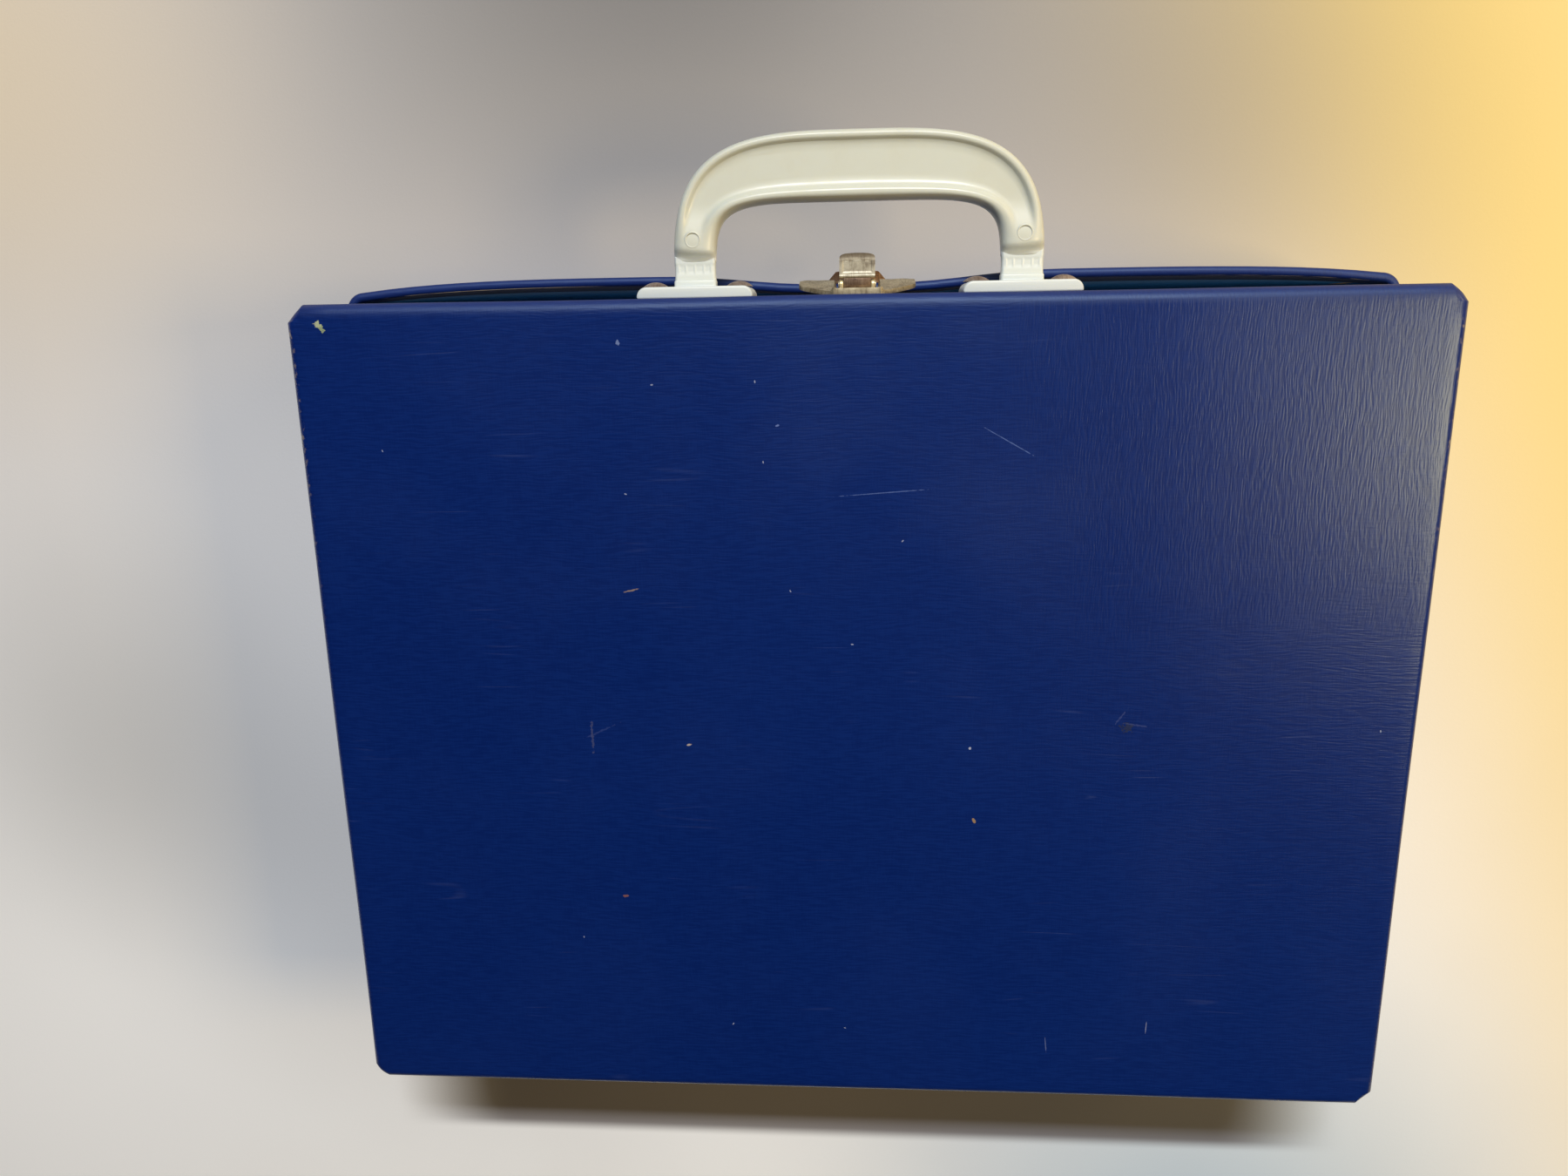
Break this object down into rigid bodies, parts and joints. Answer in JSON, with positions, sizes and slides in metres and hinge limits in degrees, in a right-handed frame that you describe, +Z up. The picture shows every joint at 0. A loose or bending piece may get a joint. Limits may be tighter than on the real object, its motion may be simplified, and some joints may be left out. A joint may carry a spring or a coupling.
{
  "type": "model car collector case",
  "caption": "Clamshell carrying case of vinyl over board with an arched plastic handle, a lever clasp and a moulded tray of car bays in each half.",
  "frame": {"origin": "centre of the lower half's outer panel, on the face the closed case lies on, midway across its width and midway across the upper half's height", "axes": "+X along the handle's length, +Y from the hinge towards the handle, +Z up through the closed case from the lower half to the upper half"},
  "size_m": [0.33, 0.3028, 0.08],
  "materials": {
    "vinyl": "deep blue vinyl, grained, semi-gloss",
    "lining": "blue vinyl lining",
    "board": "grey-brown chipboard",
    "tray": "cream moulded plastic",
    "ivory": "ivory moulded plastic",
    "nickel": "worn nickel over steel",
    "rust": "rusty steel"
  },
  "bodies": {
    "base": {"base_panel_board": "board", "base_wall_boards": "board", "base_cover": "vinyl", "base_lining": "lining", "flap_board": "board", "flap_cover": "vinyl", "flap_lining": "lining", "base_tray": "tray", "base_dividers": "tray", "keeper": "rust", "keeper_rivet": "rust", "keeper_washer": "nickel", "hinge_strip": "vinyl"},
    "lid": {"lid_panel_board": "board", "lid_wall_boards": "board", "lid_cover": "vinyl", "lid_lining": "lining", "lid_tray": "tray", "lid_dividers": "tray", "handle_foot_left": "ivory", "handle_foot_right": "ivory", "handle_rivets": "rust", "handle_washers": "nickel", "clasp_plate": "nickel", "clasp_rivets": "rust", "clasp_backing": "nickel", "clasp_spring": "nickel", "clasp_pin": "nickel"},
    "handle": {"handle_grip": "ivory"},
    "clasp": {"clasp_lever": "nickel"}
  },
  "joints": [
    {"name": "lid_hinge", "type": "hinge", "parent": "base", "child": "lid", "pos_m": [0, -0.12885, 0.04], "axis": [1, 0, 0], "range_deg": [0, 180], "deforming": ["hinge_strip"]},
    {"name": "handle_fold", "type": "hinge", "parent": "lid", "child": "handle", "pos_m": [0, 0.1356, 0.06], "axis": [1, 0, 0], "range_deg": [-50, 75], "stiffness_Nm_per_rad": 0.15},
    {"name": "clasp_flip", "type": "hinge", "parent": "lid", "child": "clasp", "pos_m": [0, 0.1315, 0.055], "axis": [1, 0, 0], "range_deg": [0, 60], "stiffness_Nm_per_rad": 0.02}
  ]
}
